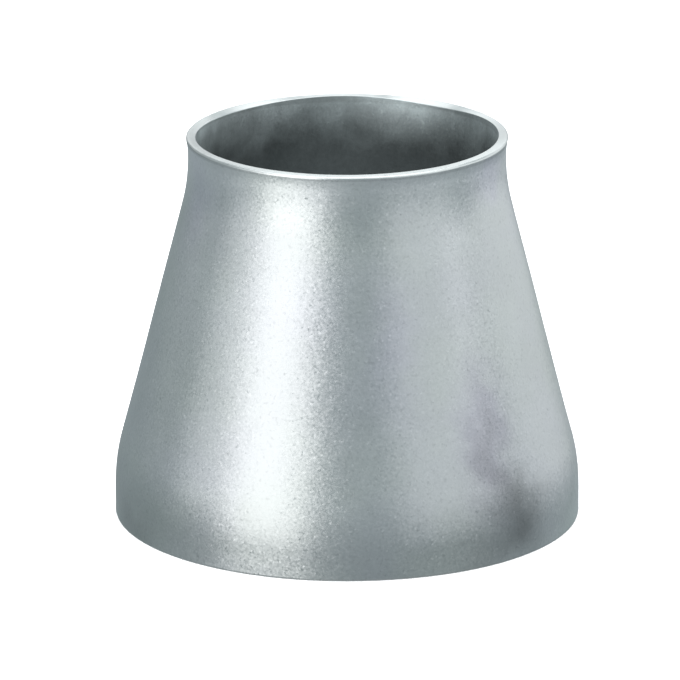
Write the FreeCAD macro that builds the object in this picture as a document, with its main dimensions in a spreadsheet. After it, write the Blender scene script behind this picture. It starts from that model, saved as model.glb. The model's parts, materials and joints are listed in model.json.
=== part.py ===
import FreeCAD, Part
import math
import os
import Sketcher

# Concentric butt-weld reducer, DN 150 x DN 100 (NPS 6 x 4), schedule 10S, in millimetres.
# One seamless piece of pipe, formed to shape and faced square at both ends.
# +Z runs along the bore from the large end to the small end. The origin is the centre of the large end's face.

NODE = "reducer_body"

# alias, value, what it is
DIMENSIONS = (
    ("face_to_face", 140.0, "overall length, ASME B16.9"),
    ("large_outer_dia", 168.3, "outside diameter of the large end"),
    ("large_wall", 3.4, "wall at the large end"),
    ("large_tangent", 10.0, "straight stretch at the large end"),
    ("knuckle_rad", 73.0, "outside radius from the large tangent into the cone"),
    ("neck_outer_dia", 114.3, "outside diameter of the straight neck"),
    ("small_wall", 3.05, "wall at the neck"),
    ("neck_tangent", 8.0, "straight stretch from the neck blend to the small end's face"),
    ("blend_rad", 66.0, "outside radius from the cone into the neck"),
    ("lip_outer_dia", 115.6, "outside diameter of the lip at the small end"),
    ("lip_height", 2.8, "height of the lip at its full diameter"),
    ("lip_fade", 1.8, "height over which the lip fades into the neck"),
    ("outer_edge_rad", 0.5, "rounding of the outside edge of each face"),
    ("inner_edge_cut", 0.4, "45 degree deburring cut on the inside edge of each face"),
)

# Each driven size of the wall's section and the sheet expression that it follows.
DRIVEN = {
    "length": "Dims.face_to_face",
    "large_outer_radius": "Dims.large_outer_dia / 2",
    "large_inner_radius": "Dims.large_outer_dia / 2 - Dims.large_wall",
    "neck_outer_radius": "Dims.neck_outer_dia / 2",
    "small_inner_radius": "Dims.neck_outer_dia / 2 - Dims.small_wall",
    "lip_outer_radius": "Dims.lip_outer_dia / 2",
    "knuckle_start": "Dims.large_tangent",
    "blend_end": "Dims.face_to_face - Dims.neck_tangent",
    "lip_bottom": "Dims.face_to_face - Dims.lip_height",
    "lip_foot": "Dims.face_to_face - Dims.lip_height - Dims.lip_fade",
    "knuckle_radius": "Dims.knuckle_rad",
    "blend_radius": "Dims.blend_rad",
    "edge_radius": "Dims.outer_edge_rad",
    "edge_cut": "Dims.inner_edge_cut",
}

START, END, CENTRE = 1, 2, 3  # Sketcher's names for the points of an edge
AXES = -1  # the sketch's own origin and horizontal axis, as a constraint names them


def make_sheet(doc):
    """The spreadsheet of driving dimensions."""
    sheet = doc.addObject("Spreadsheet::Sheet", "Dims")
    for row, (alias, value, note) in enumerate(DIMENSIONS, start=1):
        sheet.set(f"A{row}", note)
        sheet.set(f"B{row}", str(value))
        sheet.setAlias(f"B{row}", alias)
    doc.recompute()
    return sheet


def section_sizes(sheet):
    """The driven sizes as numbers, which the section is first drawn with."""
    length = sheet.face_to_face
    return {
        "length": length,
        "large_outer_radius": sheet.large_outer_dia / 2,
        "large_inner_radius": sheet.large_outer_dia / 2 - sheet.large_wall,
        "neck_outer_radius": sheet.neck_outer_dia / 2,
        "small_inner_radius": sheet.neck_outer_dia / 2 - sheet.small_wall,
        "lip_outer_radius": sheet.lip_outer_dia / 2,
        "knuckle_start": sheet.large_tangent,
        "blend_end": length - sheet.neck_tangent,
        "lip_bottom": length - sheet.lip_height,
        "lip_foot": length - sheet.lip_height - sheet.lip_fade,
        "knuckle_radius": sheet.knuckle_rad,
        "blend_radius": sheet.blend_rad,
        "edge_radius": sheet.outer_edge_rad,
        "edge_cut": sheet.inner_edge_cut,
    }


def line(first, last):
    return Part.LineSegment(FreeCAD.Vector(*first, 0), FreeCAD.Vector(*last, 0))


def arc(centre, radius, first, last):
    """An arc in the sketch plane, counter-clockwise from the angle first to the angle last."""
    circle = Part.Circle(FreeCAD.Vector(*centre, 0), FreeCAD.Vector(0, 0, 1), radius)
    return Part.ArcOfCircle(circle, first, last)


def on_circle(centre, radius, angle):
    return (centre[0] + radius * math.cos(angle), centre[1] + radius * math.sin(angle))


def cone_lean(knuckle, knuckle_radius, blend, blend_radius):
    """Angle from the axis of the line that touches the knuckle and blend circles on opposite sides."""
    across, along = blend[0] - knuckle[0], blend[1] - knuckle[1]
    return math.atan2(along, across) - math.acos((knuckle_radius + blend_radius) / math.hypot(across, along))


def outside_edges(size, knuckle, blend):
    """The section's outside, from the large face up to the small face."""
    large, neck, lip = size["large_outer_radius"], size["neck_outer_radius"], size["lip_outer_radius"]
    top, edge = size["length"], size["edge_radius"]
    lean = cone_lean(knuckle, size["knuckle_radius"], blend, size["blend_radius"])

    # The lip fades into the neck through two equal arcs, a hollow one and then a round one.
    step = lip - neck
    fade = size["lip_bottom"] - size["lip_foot"]
    fade_radius = (fade**2 + step**2) / (4 * step)
    fade_angle = math.acos(1 - step / 2 / fade_radius)
    return {
        "large_round": arc((large - edge, edge), edge, -math.pi / 2, 0),
        "large_outside": line((large, edge), (large, knuckle[1])),
        "knuckle_outside": arc(knuckle, size["knuckle_radius"], 0, lean),
        "cone_outside": line(
            on_circle(knuckle, size["knuckle_radius"], lean),
            on_circle(blend, size["blend_radius"], math.pi + lean),
        ),
        "blend_outside": arc(blend, size["blend_radius"], math.pi, math.pi + lean),
        "neck_outside": line((neck, blend[1]), (neck, size["lip_foot"])),
        "lip_hollow": arc((neck + fade_radius, size["lip_foot"]), fade_radius, math.pi - fade_angle, math.pi),
        "lip_crown": arc((lip - fade_radius, size["lip_bottom"]), fade_radius, -fade_angle, 0),
        "lip_outside": line((lip, size["lip_bottom"]), (lip, top - edge)),
        "lip_round": arc((lip - edge, top - edge), edge, 0, math.pi / 2),
    }


def inside_edges(size, knuckle, blend):
    """The section's inside and its two faces, from the small face down to the large face."""
    large, small, cut = size["large_inner_radius"], size["small_inner_radius"], size["edge_cut"]
    top, edge = size["length"], size["edge_radius"]

    # The inside shares the outside's two centres, so the wall tapers evenly along the cone.
    knuckle_radius = size["knuckle_radius"] - (size["large_outer_radius"] - large)
    blend_radius = size["blend_radius"] + (size["neck_outer_radius"] - small)
    lean = cone_lean(knuckle, knuckle_radius, blend, blend_radius)
    return {
        "small_face": line((size["lip_outer_radius"] - edge, top), (small + cut, top)),
        "small_cut": line((small + cut, top), (small, top - cut)),
        "small_inside": line((small, top - cut), (small, blend[1])),
        "blend_inside": arc(blend, blend_radius, math.pi, math.pi + lean),
        "cone_inside": line(
            on_circle(blend, blend_radius, math.pi + lean),
            on_circle(knuckle, knuckle_radius, lean),
        ),
        "knuckle_inside": arc(knuckle, knuckle_radius, 0, lean),
        "large_inside": line((large, knuckle[1]), (large, cut)),
        "large_cut": line((large, cut), (large + cut, 0)),
        "large_face": line((large + cut, 0), (size["large_outer_radius"] - edge, 0)),
    }


def shape_rules(edge):
    """The constraints that hold the section's shape. edge gives each edge's number by its name."""
    joined = (
        ("small_face", END, "small_cut", START),
        ("small_cut", END, "small_inside", START),
        ("large_inside", END, "large_cut", START),
        ("large_cut", END, "large_face", START),
        ("knuckle_outside", CENTRE, "knuckle_inside", CENTRE),
        ("blend_outside", CENTRE, "blend_inside", CENTRE),
    )
    smooth = (
        ("large_face", END, "large_round", START),
        ("large_round", END, "large_outside", START),
        ("large_outside", END, "knuckle_outside", START),
        ("knuckle_outside", END, "cone_outside", START),
        ("cone_outside", END, "blend_outside", END),
        ("blend_outside", START, "neck_outside", START),
        ("neck_outside", END, "lip_hollow", END),
        ("lip_hollow", START, "lip_crown", START),
        ("lip_crown", END, "lip_outside", START),
        ("lip_outside", END, "lip_round", START),
        ("lip_round", END, "small_face", START),
        ("small_inside", END, "blend_inside", START),
        ("blend_inside", END, "cone_inside", START),
        ("cone_inside", END, "knuckle_inside", END),
        ("knuckle_inside", START, "large_inside", START),
    )
    upright = ("large_outside", "neck_outside", "lip_outside", "small_inside", "large_inside")
    rules = [Sketcher.Constraint("Coincident", edge[a], i, edge[b], j) for a, i, b, j in joined]
    rules += [Sketcher.Constraint("Tangent", edge[a], i, edge[b], j) for a, i, b, j in smooth]
    rules += [Sketcher.Constraint("Vertical", edge[name]) for name in upright]
    rules += [
        Sketcher.Constraint("Horizontal", edge["small_face"]),
        Sketcher.Constraint("Horizontal", edge["large_face"]),
        Sketcher.Constraint("PointOnObject", edge["large_face"], START, AXES),
        Sketcher.Constraint("Equal", edge["lip_hollow"], edge["lip_crown"]),
        Sketcher.Constraint("Equal", edge["large_round"], edge["lip_round"]),
        Sketcher.Constraint("Equal", edge["large_cut"], edge["small_cut"]),
        Sketcher.Constraint("Angle", edge["large_cut"], math.radians(-45)),
        Sketcher.Constraint("Angle", edge["small_cut"], math.radians(-135)),
    ]
    return rules


def size_rules(edge, size):
    """The constraints that hold the section's driven sizes, by name."""

    def across(name, point, value):
        return Sketcher.Constraint("DistanceX", AXES, START, edge[name], point, value)

    def up(name, point, value):
        return Sketcher.Constraint("DistanceY", AXES, START, edge[name], point, value)

    cut = edge["large_cut"]
    return {
        "length": up("small_face", START, size["length"]),
        "large_outer_radius": across("large_outside", START, size["large_outer_radius"]),
        "large_inner_radius": across("large_inside", END, size["large_inner_radius"]),
        "neck_outer_radius": across("neck_outside", START, size["neck_outer_radius"]),
        "small_inner_radius": across("small_inside", START, size["small_inner_radius"]),
        "lip_outer_radius": across("lip_outside", START, size["lip_outer_radius"]),
        "knuckle_start": up("large_outside", END, size["knuckle_start"]),
        "blend_end": up("neck_outside", START, size["blend_end"]),
        "lip_bottom": up("lip_outside", START, size["lip_bottom"]),
        "lip_foot": up("neck_outside", END, size["lip_foot"]),
        "knuckle_radius": Sketcher.Constraint("Radius", edge["knuckle_outside"], size["knuckle_radius"]),
        "blend_radius": Sketcher.Constraint("Radius", edge["blend_outside"], size["blend_radius"]),
        "edge_radius": Sketcher.Constraint("Radius", edge["large_round"], size["edge_radius"]),
        "edge_cut": Sketcher.Constraint("DistanceX", cut, START, cut, END, size["edge_cut"]),
    }


def origin_plane(body, role):
    return next(feature for feature in body.Origin.OriginFeatures if feature.Role == role)


def make_section(body, sheet):
    """The sketch of the wall's section, radius across and height up, on the body's XZ plane."""
    sketch = body.newObject("Sketcher::SketchObject", "wall_section")
    sketch.AttachmentSupport = (origin_plane(body, "XZ_Plane"), [""])
    sketch.MapMode = "FlatFace"

    size = section_sizes(sheet)
    knuckle = (size["large_outer_radius"] - size["knuckle_radius"], size["knuckle_start"])
    blend = (size["neck_outer_radius"] + size["blend_radius"], size["blend_end"])
    edges = outside_edges(size, knuckle, blend) | inside_edges(size, knuckle, blend)
    edge = {name: sketch.addGeometry(shape, False) for name, shape in edges.items()}

    sketch.addConstraint(shape_rules(edge))
    for name, rule in size_rules(edge, size).items():
        sketch.renameConstraint(sketch.addConstraint(rule), name)
        sketch.setExpression(f"Constraints.{name}", DRIVEN[name])
    sketch.Document.recompute()
    if not sketch.FullyConstrained:
        raise RuntimeError("the wall's section is not fully constrained")
    return sketch


def make_reducer(doc, sheet):
    """The whole reducer: the wall's section turned once about Z."""
    body = doc.addObject("PartDesign::Body", NODE)
    body.Label = NODE
    section = make_section(body, sheet)
    wall = body.newObject("PartDesign::Revolution", "turned_wall")
    wall.Profile = section
    wall.ReferenceAxis = (section, ["V_Axis"])
    wall.Angle = 360
    body.Placement = FreeCAD.Placement()
    return body


def check(doc, bodies):
    """Stop on any failed object, and on a sub-part that is not one valid solid."""
    for item in doc.Objects:
        if "Invalid" in item.State or "Error" in item.State:
            raise RuntimeError(f"{item.Name} failed: {item.State}")
    for body in bodies:
        if body.Shape.isNull() or not body.Shape.isValid() or len(body.Shape.Solids) != 1:
            raise RuntimeError(f"{body.Label} is not one valid solid")


def main():
    doc = FreeCAD.newDocument("concentric_reducer")
    sheet = make_sheet(doc)
    bodies = [make_reducer(doc, sheet)]
    doc.recompute()
    check(doc, bodies)
    os.makedirs("parts", exist_ok=True)
    for body in bodies:
        body.Shape.exportStep(f"parts/{body.Label}.step")
        box = body.Shape.optimalBoundingBox(False)
        size = f"{box.XLength:.2f} x {box.YLength:.2f} x {box.ZLength:.2f} mm"
        print(f"{body.Label}: {size}, {body.Shape.Volume / 1000:.1f} cm3")


main()
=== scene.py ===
"""Looks of a butt-weld concentric reducer: blasted steel wall, bright cut ends, studio floor and light."""

import json
import math

import bpy
from mathutils import Matrix, Vector, noise


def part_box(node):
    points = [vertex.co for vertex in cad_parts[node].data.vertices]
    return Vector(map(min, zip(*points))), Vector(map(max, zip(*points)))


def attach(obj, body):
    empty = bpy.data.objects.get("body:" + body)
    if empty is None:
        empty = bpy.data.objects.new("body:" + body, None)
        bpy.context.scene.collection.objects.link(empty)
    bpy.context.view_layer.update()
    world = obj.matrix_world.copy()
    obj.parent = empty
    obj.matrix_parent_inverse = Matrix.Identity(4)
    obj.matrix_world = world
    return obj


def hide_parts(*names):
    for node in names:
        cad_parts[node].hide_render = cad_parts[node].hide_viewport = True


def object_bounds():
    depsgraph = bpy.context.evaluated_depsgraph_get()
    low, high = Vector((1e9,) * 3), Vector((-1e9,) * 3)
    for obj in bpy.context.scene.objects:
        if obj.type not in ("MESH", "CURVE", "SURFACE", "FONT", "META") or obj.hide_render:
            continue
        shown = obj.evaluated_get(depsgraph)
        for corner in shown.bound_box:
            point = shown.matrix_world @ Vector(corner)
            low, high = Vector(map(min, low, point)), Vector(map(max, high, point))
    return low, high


MM = 0.001
NODE = "reducer_body"

# The wall's section, beyond what the frame and the record's mounts give.
KNUCKLE_RADIUS = 73.0 * MM
BLEND_RADIUS = 66.0 * MM
LARGE_TANGENT = 10.0 * MM
NECK_TANGENT = 8.0 * MM
NECK_RADIUS = 57.15 * MM
LIP_RADIUS = 57.60 * MM
LIP_HEIGHT = 3.5 * MM
FLARE_RADIUS = 24.0 * MM
FOOT_EDGE_RADIUS = 0.5 * MM
RIM_EDGE_RADIUS = 0.9 * MM
RIM_FALL = 0.15 * MM
BEVEL_WIDTH = 2.0 * MM
BEVEL_DEPTH = 1.0 * MM
BEVEL_SOFTENING = 0.3 * MM
FOOT_CUT = 0.4 * MM
CUT_SOFTENING = 0.12 * MM

# Mesh density: fine near the edges, wider along the runs.
AROUND = 384
FEWEST_STEPS = 3
RUN_SAMPLES = 400
WIDEST_STEP = 1.7 * MM
STEP_GROWTH = 0.45
WIDEST_TURN = math.radians(18)

# The slight unevenness that pressing and blasting leave in the wall.
OVALITY = 0.10 * MM
OVAL_TURN = 0.9
WAVE_HEIGHT = 0.10 * MM
WAVE_LENGTH = 34 * MM
RIPPLE_HEIGHT = 0.025 * MM
RIPPLE_LENGTH = 9 * MM
RIM_SPREAD = 0.26 * MM
RIM_SPREAD_REACH = 6 * MM
FOOT_SPREAD = 0.30 * MM
FOOT_SPREAD_REACH = 60 * MM
BURR_HEIGHT = 0.06 * MM
BURR_LENGTH = 5 * MM

# In all the lists and values below, an azimuth is in degrees: 0 faces the camera, positive is to its right.

# The small end's face isn't quite square: it is lowest at one azimuth, and rises to the other side.
CUT_TILT = 1.25 * MM
CUT_LOWEST = -20
CUT_REACH = 40 * MM

# Where the small end's inside edge is ground back by hand: azimuth, half width in degrees, and share of
# BEVEL_DEPTH.
GROUND = (
    (-130, 30, 1.3),
    (-95, 22, 0.4),
    (143, 23, 1.45),
)
GROUND_LEAST = 0.05
GROUND_REACH = 6 * MM

# Shallow dents from handling: azimuth, height, size, depth.
DENTS = (
    (98, 36 * MM, 8 * MM, 0.30 * MM),
    (171, 86 * MM, 11 * MM, 0.28 * MM),
    (-127, 58 * MM, 9 * MM, 0.35 * MM),
    (-62, 101 * MM, 9 * MM, 0.10 * MM),
    (52, 29 * MM, 4 * MM, 0.07 * MM),
)

# Spots on the outside: smudges left by handling and pickling on the sides and back, darker patches low on the
# front right, painted shade low on the front left (-67), and a painted lighter patch low on the right (76,
# strength below zero): azimuth, height, half width, half height, strength.
SMUDGES_AND_PAINTED_LIGHT = (
    (48, 16 * MM, 10 * MM, 12 * MM, 0.30),
    (46, 14 * MM, 18 * MM, 14 * MM, 0.16),
    (41, 31 * MM, 11 * MM, 12 * MM, 0.22),
    (36, 5 * MM, 16 * MM, 9 * MM, 0.15),
    (40, 48 * MM, 8 * MM, 20 * MM, 0.26),
    (118, 22 * MM, 18 * MM, 12 * MM, 0.30),
    (-150, 95 * MM, 12 * MM, 22 * MM, 0.25),
    (-104, 16 * MM, 22 * MM, 9 * MM, 0.28),
    (172, 50 * MM, 26 * MM, 14 * MM, 0.18),
    (-67, 2 * MM, 16 * MM, 9 * MM, 0.17),
    (76, 3 * MM, 26 * MM, 12 * MM, -0.33),
)

# Faint lilac patches: azimuth, height, half width, half height, strength.
LILAC = (
    (40, 50 * MM, 9 * MM, 20 * MM, 1.0),
    (64, 132 * MM, 14 * MM, 7 * MM, 0.8),
    (14, 84 * MM, 8 * MM, 22 * MM, 0.5),
    (-66, 118 * MM, 12 * MM, 16 * MM, 0.5),
    (-158, 60 * MM, 22 * MM, 34 * MM, 0.6),
    (110, 92 * MM, 16 * MM, 22 * MM, 0.6),
)

# Painted light patches near the bore's mouth, where light falls in over the rim: azimuth, height, half width,
# half height, strength.
BORE_PAINTED_LIGHT_PATCHES = (
    (161, 138 * MM, 16 * MM, 8 * MM, 0.44),
    (-147, 139 * MM, 14 * MM, 6 * MM, 0.08),
    (-110, 141 * MM, 16 * MM, 4 * MM, 0.25),
    (20, 137 * MM, 20 * MM, 7 * MM, 0.15),
)

# Where the small end's cut face is darker: azimuth, height, half width, half height, strength.
DARKER_ON_CUT = (
    (-78, 140 * MM, 34 * MM, 12 * MM, 0.38),
    (92, 140 * MM, 16 * MM, 12 * MM, 0.26),
)

# The finishes, in the order of the mesh's materials.
OUTSIDE, INSIDE, MACHINED = range(3)

# The noise that breaks up the edges of all those spots, and the most that they add up to.
SPOT_WARP_SIZE = 16 * MM
SPOT_WARP = 22 * MM
SPOT_MOST = 0.8

# The blasted surface: its orange peel, and the size and slope of the facets that the shot leaves, steeper in
# scattered pits.
PEEL_SIZE = 7 * MM
PEEL_DEPTH = 0.03 * MM
GRAIN_SIZE = 0.9 * MM
GRAIN_SLOPE = 0.16
PIT_SPACING = 1.3 * MM
PIT_SLOPE = 0.42
STEEP_RANGE = (0.55, 0.75)
PIT_SIZE = 1.2 * MM
PIT_RANGE = (0.66, 0.78)

# The ranges that broad and fine noise mostly stay in.
BROAD = (0.3, 0.7)
FINE = (0.25, 0.75)

# The outside: its two tints, the sizes of its noises, and how each of them sways the shade and the roughness.
GREY_TINT = (0.603, 0.617, 0.613)
LILAC_TINT = (0.616, 0.604, 0.660)
HUE_SIZE = 45 * MM
HUE_RANGE = (0.36, 0.64)
HUE_SHARE = (0.0, 0.45)
CLOUD_SIZE = 26 * MM
CLOUD_SHADE = (0.95, 1.03)
CLOUD_ROUGHNESS = (0.345, 0.375)
SPECKLE_SIZE = 1.1 * MM
SPECKLE_SHADE = (-0.04, 0.04)
SPECKLE_ROUGHNESS = (-0.02, 0.02)
# Painted shade: how much the pits darken the colour.
PIT_PAINTED_SHADE = -0.09
SMUDGE_ROUGHNESS = 0.06

# Towards the top the outside gets rougher, its colour is lightened as painted light, and a painted shade line
# darkens it under the rim: the two distances below the top between which each change happens, and the value
# at its end.
TOP_PAINTED_LIGHT = (24 * MM, 5 * MM, 1.26)
ROUGHER = (14 * MM, 3 * MM, 0.07)
RIM_PAINTED_SHADE = (1.9 * MM, 1.5 * MM, 0.84)

# The bore, in the same way: its colour is lightened towards both ends as painted light, with a painted shade
# line below its mouth. Its streaks are noise on the wall unrolled at a radius, and stretched lengthwise.
BORE_TINT = (0.935, 1.0, 1.012)
BORE_SHADE = 0.285
BORE_PAINTED_LIGHT = 0.29
BORE_ROUGHNESS = (0.50, 0.60)
BORE_CLOUD_SIZE = 17 * MM
BORE_CLOUD_SHADE = (-0.03, 0.03)
BORE_SPECKLE_SIZE = 1.4 * MM
BORE_SPECKLE_SHADE = (-0.03, 0.03)
STREAK_SIZE = 3.5 * MM
STREAK_RADIUS = 70 * MM
STREAK_STRETCH = 0.12
STREAK_SHADE = (-0.012, 0.012)
STREAK_ROUGHNESS = (-0.02, 0.02)
RAGGED_EDGE = (-5 * MM, 5 * MM)
MOUTH_PAINTED_LIGHT = (19 * MM, -1 * MM, 1.0)
MOUTH_PAINTED_SHADE = (1.7 * MM, 1.0 * MM, -0.10)
FOOT_PAINTED_LIGHT = (2 * MM, 16 * MM)

# The turned faces: rings round the axis that wobble a little, and how far their noise moves on in one radian.
CUT_TINT = (0.765, 0.775, 0.775)
CUT_SHADE = (0.94, 1.0)
CUT_ROUGHNESS = (0.27, 0.36)
CUT_CLOUD_SIZE = 8 * MM
CUT_CLOUD_SHADE = (-0.05, 0.03)
RING_SIZE = 0.22 * MM
RING_TURN = 0.6 * MM
RING_DEPTH = 0.01 * MM
WOBBLE_SIZE = 9 * MM
WOBBLE = 0.25 * MM


# ---------------------------------------------------------------- the wall's section


def frame_sizes(frame):
    """The section's main sizes, from the CAD box and the record's bores."""
    low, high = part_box(NODE)
    bores = {m["name"]: m["dims"].get("r_mm") for m in frame["record"]["mounts"]}
    return {
        "height": high.z - low.z,
        "large": (high.x - low.x) / 2,
        "large_bore": bores["large_end_bore"] * MM,
        "small_bore": bores["small_end_bore"] * MM,
    }


def cone_corners(low_radius, knuckle, high_radius, blend, height):
    """Where the cone's line would cross the lines of the two straight ends, were their arcs left out."""
    across = high_radius + blend - (low_radius - knuckle)
    along = height - NECK_TANGENT - LARGE_TANGENT
    lean = math.atan2(along, across) - math.acos((knuckle + blend) / math.hypot(across, along))
    rise = math.tan(lean / 2)
    return (low_radius, LARGE_TANGENT + knuckle * rise), (high_radius, height - NECK_TANGENT - blend * rise)


def wall_corners(sizes):
    """The closed section as (radius, height, rounding) corners, up the outside and down the inside."""
    height, large = sizes["height"], sizes["large"]
    large_bore, small_bore = sizes["large_bore"], sizes["small_bore"]
    inner_knuckle_radius = KNUCKLE_RADIUS - (large - large_bore)
    inner_blend_radius = BLEND_RADIUS + (NECK_RADIUS - small_bore)
    knuckle, neck = cone_corners(large, KNUCKLE_RADIUS, NECK_RADIUS, BLEND_RADIUS, height)
    inner_knuckle, inner_neck = cone_corners(
        large_bore, inner_knuckle_radius, small_bore, inner_blend_radius, height
    )
    return [
        (large, 0.0, FOOT_EDGE_RADIUS),
        (*knuckle, KNUCKLE_RADIUS),
        (*neck, BLEND_RADIUS),
        (NECK_RADIUS, height - LIP_HEIGHT, FLARE_RADIUS),
        (LIP_RADIUS, height - RIM_FALL, RIM_EDGE_RADIUS),
        (small_bore + BEVEL_WIDTH, height, BEVEL_SOFTENING),
        (small_bore, height - BEVEL_DEPTH, BEVEL_SOFTENING),
        (*inner_neck, inner_blend_radius),
        (*inner_knuckle, inner_knuckle_radius),
        (large_bore, FOOT_CUT, CUT_SOFTENING),
        (large_bore + FOOT_CUT, 0.0, CUT_SOFTENING),
    ]


def corner_arc(before, here, after, radius):
    """Points of the arc that rounds a corner, from the run before it to the run after it."""
    towards_before, towards_after = (before - here).normalized(), (after - here).normalized()
    half = towards_before.angle(towards_after) / 2
    turn = math.pi - 2 * half
    centre = here + (towards_before + towards_after).normalized() * radius / math.sin(half)
    start = here + towards_before * radius / math.tan(half) - centre
    end = here + towards_after * radius / math.tan(half) - centre
    way = math.copysign(turn, -start.angle_signed(end))
    pieces = max(FEWEST_STEPS, math.ceil(turn / WIDEST_TURN), math.ceil(radius * turn / WIDEST_STEP))
    return [centre + Matrix.Rotation(way * i / pieces, 2) @ start for i in range(pieces + 1)]


def run_points(start, end, first_step, last_step):
    """Points inside a straight run, close together near its ends and at most WIDEST_STEP apart."""
    length = (end - start).length
    density = []
    for i in range(RUN_SAMPLES):
        along = (i + 0.5) / RUN_SAMPLES * length
        step = min(WIDEST_STEP, first_step + STEP_GROWTH * along, last_step + STEP_GROWTH * (length - along))
        density.append(length / RUN_SAMPLES / step)
    pieces = max(1, round(sum(density)))
    share = sum(density) / pieces
    points, passed = [], 0.0
    for i, part in enumerate(density):
        while len(points) + 1 < pieces and passed + part >= share * (len(points) + 1):
            inside = (share * (len(points) + 1) - passed) / part
            points.append(start.lerp(end, (i + inside) / RUN_SAMPLES))
        passed += part
    return points


def section_points(corners):
    """The whole closed section as points, none of them twice."""
    places = [Vector(corner[:2]) for corner in corners]
    arcs = [
        corner_arc(places[i - 1], places[i], places[(i + 1) % len(places)], corner[2])
        for i, corner in enumerate(corners)
    ]
    points = []
    for arc, following in zip(arcs, arcs[1:] + arcs[:1]):
        last_step = (arc[-1] - arc[-2]).length
        next_step = (following[1] - following[0]).length
        points += arc + run_points(arc[-1], following[0], last_step, next_step)
    return points


def finish_of(start, end, height):
    """The finish between two section points: turned on the cuts, blasted going up, pickled coming down."""
    level = (start.y + end.y) / 2
    if level > height - BEVEL_DEPTH or level < FOOT_CUT:
        return MACHINED
    return OUTSIDE if end.y > start.y else INSIDE


# ---------------------------------------------------------------- the wall's mesh


def facing(azimuth):
    """The level unit vector at an azimuth in degrees, where 0 faces the camera."""
    return Vector((math.sin(math.radians(azimuth)), -math.cos(math.radians(azimuth)), 0))


def dent_depth(outward, radius, z):
    """How deep the dents are at a point of the wall."""
    place = outward * radius + Vector((0, 0, z))
    depth = 0.0
    for azimuth, height, size, deepest in DENTS:
        away = place - facing(azimuth) * radius - Vector((0, 0, height))
        depth += deepest * math.exp(-away.length_squared / size**2)
    return depth


def eased(share):
    """A share from 0 to 1, eased at both ends."""
    share = min(1.0, max(0.0, share))
    return share**2 * (3 - 2 * share)


def ground_share(azimuth):
    """How much of the full bevel the small end's inside edge has at an azimuth in degrees."""
    share = GROUND_LEAST
    for middle, width, most in GROUND:
        gap = (azimuth - middle + 180) % 360 - 180
        share += most * math.exp(-(gap / width) ** 2)
    return share


def lifted(azimuth, point, sizes):
    """The height of a section point once the small end is cut a little out of square and its bevel ground."""
    below = sizes["height"] - point.y
    rise = CUT_TILT * (1 - math.cos(math.radians(azimuth - CUT_LOWEST))) / 2 * eased(1 - below / CUT_REACH)
    if point.x < sizes["small_bore"] + BEVEL_WIDTH:
        unground = 1 - ground_share(azimuth)
        fade = eased(1 - (below - BEVEL_DEPTH) / GROUND_REACH)
        rise += unground * min(below, BEVEL_DEPTH) * fade
    return point.y + rise


def unevenness(outward, radius, z, sizes):
    """How far the wall stands proud of its true circle there."""
    place = outward * sizes["large"] + Vector((0, 0, z))
    angle = math.atan2(outward.y, outward.x)
    proud = OVALITY * math.cos(2 * angle + OVAL_TURN)
    proud += WAVE_HEIGHT * noise.noise(place / WAVE_LENGTH)
    proud += RIPPLE_HEIGHT * noise.noise(place / RIPPLE_LENGTH)
    spread = RIM_SPREAD * eased(1 - (sizes["height"] - z) / RIM_SPREAD_REACH)
    spread += FOOT_SPREAD * eased(1 - z / FOOT_SPREAD_REACH)
    proud += spread * math.cos(angle) ** 2
    near_cut = max(0.0, 1 - (sizes["height"] - z) / LIP_HEIGHT)
    proud += BURR_HEIGHT * near_cut * noise.noise(place / BURR_LENGTH)
    return proud - dent_depth(outward, radius, z)


def reducer_mesh(sizes):
    """One closed wall of quads: the section, turned round Z."""
    section = section_points(wall_corners(sizes))
    count = len(section)
    bands = [finish_of(point, section[(i + 1) % count], sizes["height"]) for i, point in enumerate(section)]
    vertices, faces, finishes = [], [], []
    for step in range(AROUND):
        azimuth = 360 * step / AROUND
        outward = facing(azimuth)
        for point in section:
            radius = point.x + unevenness(outward, point.x, point.y, sizes)
            vertices.append(outward * radius + Vector((0, 0, lifted(azimuth, point, sizes))))
        here, there = step * count, (step + 1) % AROUND * count
        for i in range(count):
            j = (i + 1) % count
            faces.append((here + i, there + i, there + j, here + j))
        finishes += bands
    mesh = bpy.data.meshes.new("reducer_wall")
    mesh.from_pydata(vertices, [], faces)
    mesh.polygons.foreach_set("material_index", finishes)
    mesh.shade_smooth()
    return mesh


def make_reducer(frame):
    """The piece that stands for the CAD body."""
    sizes = frame_sizes(frame)
    mesh = reducer_mesh(sizes)
    for material in (blasted_outside(sizes["height"]), pickled_inside(sizes["height"]), machined_cut()):
        mesh.materials.append(material)
    piece = bpy.data.objects.new("reducer", mesh)
    bpy.context.scene.collection.objects.link(piece)
    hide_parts(NODE)
    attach(piece, "root")


# ---------------------------------------------------------------- materials


def new_material(name):
    """An empty metal material: its node tree and its shader."""
    material = bpy.data.materials.new(name)
    material.use_nodes = True
    shader = material.node_tree.nodes["Principled BSDF"]
    shader.inputs["Metallic"].default_value = 1.0
    return material, material.node_tree, shader


def put(tree, kind, inputs=(), **settings):
    """A new node; a socket given as an input is linked, and anything else is set."""
    made = tree.nodes.new(kind)
    for name, value in settings.items():
        setattr(made, name, value)
    for name, value in dict(inputs).items():
        if isinstance(value, bpy.types.NodeSocket):
            tree.links.new(value, made.inputs[name])
        else:
            made.inputs[name].default_value = value
    return made


def math_node(tree, operation, *values):
    """The result of a Math node on sockets or numbers."""
    return put(tree, "ShaderNodeMath", enumerate(values), operation=operation).outputs[0]


def vector_node(tree, operation, *values):
    """The result of a Vector Math node on sockets or vectors."""
    return put(tree, "ShaderNodeVectorMath", enumerate(values), operation=operation).outputs[0]


def sum_of(tree, first, *others):
    """Sockets or numbers, added up."""
    for value in others:
        first = math_node(tree, "ADD", first, value)
    return first


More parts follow.
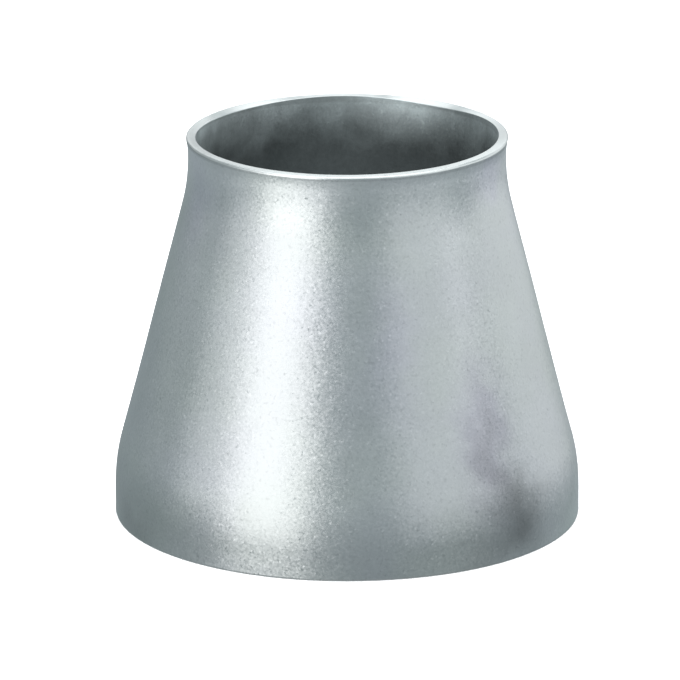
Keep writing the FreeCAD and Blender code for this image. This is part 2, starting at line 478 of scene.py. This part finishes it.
def product_of(tree, first, *others):
    """Sockets or numbers, multiplied together."""
    for value in others:
        first = math_node(tree, "MULTIPLY", first, value)
    return first


def noise_value(tree, where, size, detail=2.0, roughness=0.5, distortion=0.0):
    """Noise from 0 to 1, with features about as wide as size."""
    inputs = {"Vector": where, "Scale": 1 / size, "Detail": detail}
    inputs |= {"Roughness": roughness, "Distortion": distortion}
    return put(tree, "ShaderNodeTexNoise", inputs).outputs["Fac"]


def remap(tree, value, low, high, to_low, to_high):
    """A value from low..high, carried to to_low..to_high and held there."""
    inputs = {"Value": value, "From Min": low, "From Max": high, "To Min": to_low, "To Max": to_high}
    return put(tree, "ShaderNodeMapRange", inputs).outputs["Result"]


def mix_colour(tree, factor, first, second, blend="MIX"):
    """Two colours mixed by a factor."""
    made = tree.nodes.new("ShaderNodeMix")
    made.data_type, made.blend_type = "RGBA", blend
    for index, value in ((0, factor), (6, first), (7, second)):
        if isinstance(value, bpy.types.NodeSocket):
            tree.links.new(value, made.inputs[index])
        elif index == 0:
            made.inputs[index].default_value = value
        else:
            made.inputs[index].default_value = (*value, 1.0)
    return made.outputs[2]


def bump(tree, height, distance):
    """A bump of that height in metres."""
    inputs = {"Height": height, "Distance": distance, "Strength": 1.0}
    return put(tree, "ShaderNodeBump", inputs).outputs["Normal"]


def position(tree):
    """The point in the part's own frame, in metres."""
    return put(tree, "ShaderNodeTexCoord").outputs["Object"]


def round_the_axis(tree, where):
    """A point's azimuth in radians (0 at the front), radius and height."""
    x, y, height = put(tree, "ShaderNodeSeparateXYZ", {0: where}).outputs
    azimuth = math_node(tree, "ARCTAN2", x, product_of(tree, y, -1.0))
    square = sum_of(tree, product_of(tree, x, x), product_of(tree, y, y))
    return azimuth, math_node(tree, "SQRT", square), height


def towards_top(tree, height, top, change, start=0.0):
    """A value that goes from start to a change's last number, between its two distances below the top."""
    far, near, end = change
    return remap(tree, height, top - far, top - near, start, end)


def spots(tree, where, places):
    """How strongly a list of spots marks a point, their edges broken up by noise."""
    inputs = {"Vector": where, "Scale": 1 / SPOT_WARP_SIZE, "Detail": 4.0}
    warp = put(tree, "ShaderNodeTexNoise", inputs).outputs["Color"]
    shift = vector_node(tree, "SUBTRACT", warp, (0.5,) * 3)
    warped = vector_node(tree, "MULTIPLY_ADD", shift, (SPOT_WARP,) * 3, where)
    azimuth, radius, height = round_the_axis(tree, warped)
    total = 0.0
    for turned, level, wide, tall, strength in places:
        gap = math_node(tree, "SUBTRACT", azimuth, math.radians(turned))
        gap = math_node(tree, "WRAP", gap, math.pi, -math.pi)
        across = math_node(tree, "DIVIDE", product_of(tree, gap, radius), wide)
        along = math_node(tree, "DIVIDE", math_node(tree, "SUBTRACT", height, level), tall)
        square = sum_of(tree, product_of(tree, across, across), product_of(tree, along, along))
        spot = math_node(tree, "EXPONENT", product_of(tree, square, -1.0))
        total = sum_of(tree, total, product_of(tree, spot, strength))
    return math_node(tree, "MINIMUM", total, SPOT_MOST)


def unspotted(tree, shade, spot):
    """A shade, less the share that the spots take."""
    return product_of(tree, shade, math_node(tree, "SUBTRACT", 1.0, spot))


def blast_grain(tree, where):
    """The normal of a shot-blasted surface: a soft orange peel, broken into facets that lean every way."""
    peel = bump(tree, noise_value(tree, where, PEEL_SIZE), PEEL_DEPTH)
    inputs = {"Vector": where, "Scale": 1 / GRAIN_SIZE, "Detail": 1.0, "Roughness": 0.5}
    facets = put(tree, "ShaderNodeTexNoise", inputs).outputs["Color"]
    lean = vector_node(tree, "SUBTRACT", facets, (0.5,) * 3)
    steep = noise_value(tree, where, PIT_SPACING, detail=0.0)
    slope = remap(tree, steep, *STEEP_RANGE, GRAIN_SLOPE, PIT_SLOPE)
    return vector_node(tree, "NORMALIZE", vector_node(tree, "MULTIPLY_ADD", lean, slope, peel))


def pits(tree, where):
    """Where the pits are: 1 in the middle of one, and 0 between them."""
    return remap(tree, noise_value(tree, where, PIT_SIZE, detail=0.0), *PIT_RANGE, 0.0, 1.0)


def greyed(tree, tint, shade):
    """A tint, lightened or darkened by a shade."""
    grey = put(tree, "ShaderNodeCombineColor", {0: shade, 1: shade, 2: shade}).outputs[0]
    return mix_colour(tree, 1.0, tint, grey, "MULTIPLY")


def blasted_outside(top):
    """Shot-blasted and pickled stainless: matt grey, fine-grained, faintly clouded, smudged by handling, with
    painted light near the top and at the foot, and painted shade under the rim, in the pits and at the foot.
    """
    material, tree, shader = new_material("blasted_outside")
    where = position(tree)
    height = put(tree, "ShaderNodeSeparateXYZ", {0: where}).outputs[2]
    hue = noise_value(tree, where, HUE_SIZE, detail=3.0)
    cloud = noise_value(tree, where, CLOUD_SIZE, detail=5.0, roughness=0.6, distortion=0.4)
    speckle = noise_value(tree, where, SPECKLE_SIZE, roughness=0.7)
    # Smudges and darker patches, with painted shade at the foot on the left and a painted lighter patch at
    # the foot on the right.
    smudge_and_painted_light = spots(tree, where, SMUDGES_AND_PAINTED_LIGHT)
    shade = sum_of(
        tree,
        remap(tree, cloud, *BROAD, *CLOUD_SHADE),
        remap(tree, speckle, *FINE, *SPECKLE_SHADE),
        # Painted shade in the pits.
        product_of(tree, pits(tree, where), PIT_PAINTED_SHADE),
    )
    # Painted light: the colour is lightened towards the top.
    top_painted_light = towards_top(tree, height, top, TOP_PAINTED_LIGHT, 1.0)
    # Painted shade: a dark line under the rim.
    rim_painted_shade = towards_top(tree, height, top, RIM_PAINTED_SHADE, 1.0)
    shade = product_of(tree, unspotted(tree, shade, smudge_and_painted_light), product_of(tree, top_painted_light, rim_painted_shade))
    lilac = sum_of(tree, remap(tree, hue, *HUE_RANGE, *HUE_SHARE), spots(tree, where, LILAC))
    tint = mix_colour(tree, lilac, GREY_TINT, LILAC_TINT)
    tree.links.new(greyed(tree, tint, shade), shader.inputs["Base Color"])
    rough = sum_of(
        tree,
        remap(tree, cloud, *BROAD, *CLOUD_ROUGHNESS),
        remap(tree, speckle, *FINE, *SPECKLE_ROUGHNESS),
        towards_top(tree, height, top, ROUGHER),
        product_of(tree, smudge_and_painted_light, SMUDGE_ROUGHNESS),
    )
    tree.links.new(rough, shader.inputs["Roughness"])
    tree.links.new(blast_grain(tree, where), shader.inputs["Normal"])
    return material


def pickled_inside(top):
    """The bore: pickled, darker deep down and lighter near both ends as painted shade and painted light, with
    soft lengthwise streaks.
    """
    material, tree, shader = new_material("pickled_inside")
    where = position(tree)
    azimuth, _, height = round_the_axis(tree, where)
    cloud = noise_value(tree, where, BORE_CLOUD_SIZE, detail=4.0, roughness=0.55, distortion=0.4)
    speckle = noise_value(tree, where, BORE_SPECKLE_SIZE, roughness=0.7)
    unrolled = {0: product_of(tree, azimuth, STREAK_RADIUS), 1: product_of(tree, height, STREAK_STRETCH)}
    unrolled = put(tree, "ShaderNodeCombineXYZ", unrolled).outputs[0]
    streak = noise_value(tree, unrolled, STREAK_SIZE, detail=4.0, roughness=0.6)
    ragged = sum_of(tree, height, remap(tree, cloud, *FINE, *RAGGED_EDGE))
    # Painted light: the colour is lightened near the mouth and the foot, where light falls in.
    mouth = towards_top(tree, ragged, top, MOUTH_PAINTED_LIGHT)
    painted_light_ends = sum_of(tree, mouth, remap(tree, ragged, *FOOT_PAINTED_LIGHT, 1.0, 0.0))
    shade = sum_of(
        tree,
        BORE_SHADE,
        product_of(tree, painted_light_ends, BORE_PAINTED_LIGHT),
        # Painted light patches near the mouth, where light falls in over the rim.
        spots(tree, where, BORE_PAINTED_LIGHT_PATCHES),
        # Painted shade: a dark line just below the mouth.
        towards_top(tree, height, top, MOUTH_PAINTED_SHADE),
        remap(tree, cloud, *BROAD, *BORE_CLOUD_SHADE),
        remap(tree, streak, *BROAD, *STREAK_SHADE),
        remap(tree, speckle, *FINE, *BORE_SPECKLE_SHADE),
    )
    tree.links.new(greyed(tree, BORE_TINT, shade), shader.inputs["Base Color"])
    swayed = remap(tree, streak, *BROAD, *STREAK_ROUGHNESS)
    rough = sum_of(tree, remap(tree, cloud, *BROAD, *BORE_ROUGHNESS), swayed)
    tree.links.new(rough, shader.inputs["Roughness"])
    tree.links.new(blast_grain(tree, where), shader.inputs["Normal"])
    return material


def machined_cut():
    """The turned end faces, their edge breaks and the ground bevel: brighter, with fine rings."""
    material, tree, shader = new_material("machined_cut")
    where = position(tree)
    azimuth, radius, _ = round_the_axis(tree, where)
    wobble = noise_value(tree, where, WOBBLE_SIZE)
    across = sum_of(tree, radius, product_of(tree, wobble, WOBBLE))
    rings = {0: across, 1: product_of(tree, azimuth, RING_TURN)}
    rings = put(tree, "ShaderNodeCombineXYZ", rings).outputs[0]
    turning = noise_value(tree, rings, RING_SIZE, roughness=0.6)
    cloud = noise_value(tree, where, CUT_CLOUD_SIZE, detail=3.0)
    shade = sum_of(
        tree, remap(tree, turning, *BROAD, *CUT_SHADE), remap(tree, cloud, *BROAD, *CUT_CLOUD_SHADE)
    )
    shade = unspotted(tree, shade, spots(tree, where, DARKER_ON_CUT))
    tree.links.new(greyed(tree, CUT_TINT, shade), shader.inputs["Base Color"])
    tree.links.new(remap(tree, turning, *BROAD, *CUT_ROUGHNESS), shader.inputs["Roughness"])
    tree.links.new(bump(tree, turning, RING_DEPTH), shader.inputs["Normal"])
    return material


# ---------------------------------------------------------------- camera, stage and light

WHITE = (1.0, 1.0, 1.0)
WARM_WHITE = (1.0, 0.99, 0.98)

# The soft boxes, all facing a point above the origin: name, azimuth, elevation, width and height in degrees,
# radiance and colour. A key at the front left, broad fills on the right and behind, and a box over the rim.
LIGHT_DISTANCE = 2.0
LIGHT_AIM = 0.08
SOFT_BOXES = (
    ("key", -39.6, 9, 40, 58, 1.55, WARM_WHITE),
    ("key_shoulder", -74, 16, 30, 46, 0.52, WHITE),
    ("right_front", 50, 16, 50, 56, 0.45, WHITE),
    ("right_side", 84, 22, 30, 44, 0.64, WHITE),
    ("right_back", 128, 9, 60, 42, 0.60, WHITE),
    ("left_back", -136, 15, 66, 34, 0.24, WHITE),
    ("over_rim", 180, 26, 50, 34, 0.8, WHITE),
    ("overhead", 10, 84, 80, 84, 1.15, WHITE),
)

# What the metal reflects: the room's two tones, the heights of a direction between which they change, and the
# pale floor, which shows only far below.
ROOM_BELOW = (0.250, 0.302, 0.310)
ROOM_ABOVE = (0.376, 0.455, 0.468)
ROOM_CHANGE = (-0.4, 0.5)
FLOOR_SEEN = (0.42, 0.45, 0.46)
FLOOR_CHANGE = (-0.95, -0.55)
FLOOR_LIGHT = (1.6, 1.6, 1.6)

FLOOR_RADIUS = 14.0
FLOOR_SIDES = 128
FLOOR_DROP = 0.02 * MM
FLOOR_COLOUR = (0.86, 0.865, 0.87)

# The camera, as the photograph's outline gives it.
ELEVATION = math.radians(16.711)
DISTANCE = 2.0861
LENS = 304.92
SENSOR = 36.0
CLIP_NEAR, CLIP_FAR = 0.1, 100
AIM = (-2.570 * MM, -6.260 * MM)


def make_camera(box):
    """The photograph's long lens, looking along +Y and down, aimed a little beside the part's middle."""
    camera = bpy.data.objects.new("camera", bpy.data.cameras.new("camera"))
    bpy.context.scene.collection.objects.link(camera)
    camera.data.sensor_width = SENSOR
    camera.data.lens = LENS
    camera.data.clip_start, camera.data.clip_end = CLIP_NEAR, CLIP_FAR
    back = Vector((0, -math.cos(ELEVATION), math.sin(ELEVATION)))
    up = Vector((0, math.sin(ELEVATION), math.cos(ELEVATION)))
    middle = Vector((0, 0, (box[0].z + box[1].z) / 2))
    camera.location = middle + back * DISTANCE + Vector((AIM[0], 0, 0)) + up * AIM[1]
    camera.rotation_mode = "QUATERNION"
    camera.rotation_quaternion = (-back).to_track_quat("-Z", "Y")
    bpy.context.scene.camera = camera


def make_floor():
    """A plain pale floor, white where it is fully lit."""
    mesh = bpy.data.meshes.new("floor")
    turns = [2 * math.pi * i / FLOOR_SIDES for i in range(FLOOR_SIDES)]
    rim = [(FLOOR_RADIUS * math.cos(turn), FLOOR_RADIUS * math.sin(turn), 0.0) for turn in turns]
    mesh.from_pydata(rim, [], [tuple(range(FLOOR_SIDES))])
    floor = bpy.data.objects.new("floor", mesh)
    bpy.context.scene.collection.objects.link(floor)
    floor.location.z = -FLOOR_DROP
    material = bpy.data.materials.new("pale_floor")
    material.use_nodes = True
    shader = material.node_tree.nodes["Principled BSDF"]
    shader.inputs["Base Color"].default_value = (*FLOOR_COLOUR, 1)
    shader.inputs["Roughness"].default_value = 1.0
    shader.inputs["Specular IOR Level"].default_value = 0.0
    mesh.materials.append(material)
    floor.visible_glossy = False
    floor.visible_shadow = False


def make_world():
    """White behind the part, even light on the floor, and a dim cool room for the metal to reflect."""
    world = bpy.data.worlds.new("studio")
    bpy.context.scene.world = world
    world.use_nodes = True
    tree = world.node_tree
    ray = put(tree, "ShaderNodeLightPath").outputs
    towards = put(tree, "ShaderNodeTexCoord").outputs["Generated"]
    up = put(tree, "ShaderNodeSeparateXYZ", {0: towards}).outputs[2]
    room = mix_colour(tree, remap(tree, up, *ROOM_CHANGE, 0.0, 1.0), ROOM_BELOW, ROOM_ABOVE)
    room = mix_colour(tree, remap(tree, up, *FLOOR_CHANGE, 1.0, 0.0), room, FLOOR_SEEN)
    lit = mix_colour(tree, ray["Is Diffuse Ray"], room, FLOOR_LIGHT)
    seen = mix_colour(tree, ray["Is Camera Ray"], lit, WHITE)
    tree.links.new(seen, tree.nodes["Background"].inputs["Color"])


def soft_box(name, azimuth, elevation, wide, tall, brightness, colour):
    """A soft box facing the part, hidden from the camera: its place and span in degrees, and its radiance."""
    width = 2 * LIGHT_DISTANCE * math.tan(math.radians(wide / 2))
    height = 2 * LIGHT_DISTANCE * math.tan(math.radians(tall / 2))
    light = bpy.data.lights.new(name, "AREA")
    light.shape, light.size, light.size_y = "RECTANGLE", width, height
    light.energy = brightness * math.pi * width * height
    light.color = colour
    lamp = bpy.data.objects.new(name, light)
    bpy.context.scene.collection.objects.link(lamp)
    raised = math.radians(elevation)
    away = facing(azimuth) * math.cos(raised) + Vector((0, 0, math.sin(raised)))
    lamp.location = away * LIGHT_DISTANCE + Vector((0, 0, LIGHT_AIM))
    lamp.rotation_mode = "QUATERNION"
    lamp.rotation_quaternion = away.to_track_quat("Z", "Y")
    lamp.visible_camera = False


def make_lights():
    """Every soft box."""
    for values in SOFT_BOXES:
        soft_box(*values)


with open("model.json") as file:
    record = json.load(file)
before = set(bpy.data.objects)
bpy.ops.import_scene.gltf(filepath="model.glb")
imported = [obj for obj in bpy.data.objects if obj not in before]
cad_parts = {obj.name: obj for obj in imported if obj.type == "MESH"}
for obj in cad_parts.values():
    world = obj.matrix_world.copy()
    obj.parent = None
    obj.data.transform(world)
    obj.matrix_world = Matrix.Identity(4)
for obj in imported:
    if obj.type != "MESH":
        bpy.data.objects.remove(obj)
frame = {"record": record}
cad_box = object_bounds()
make_camera(cad_box)
make_reducer(frame)
make_floor()
make_world()
make_lights()
bpy.context.scene.view_settings.view_transform = "Standard"
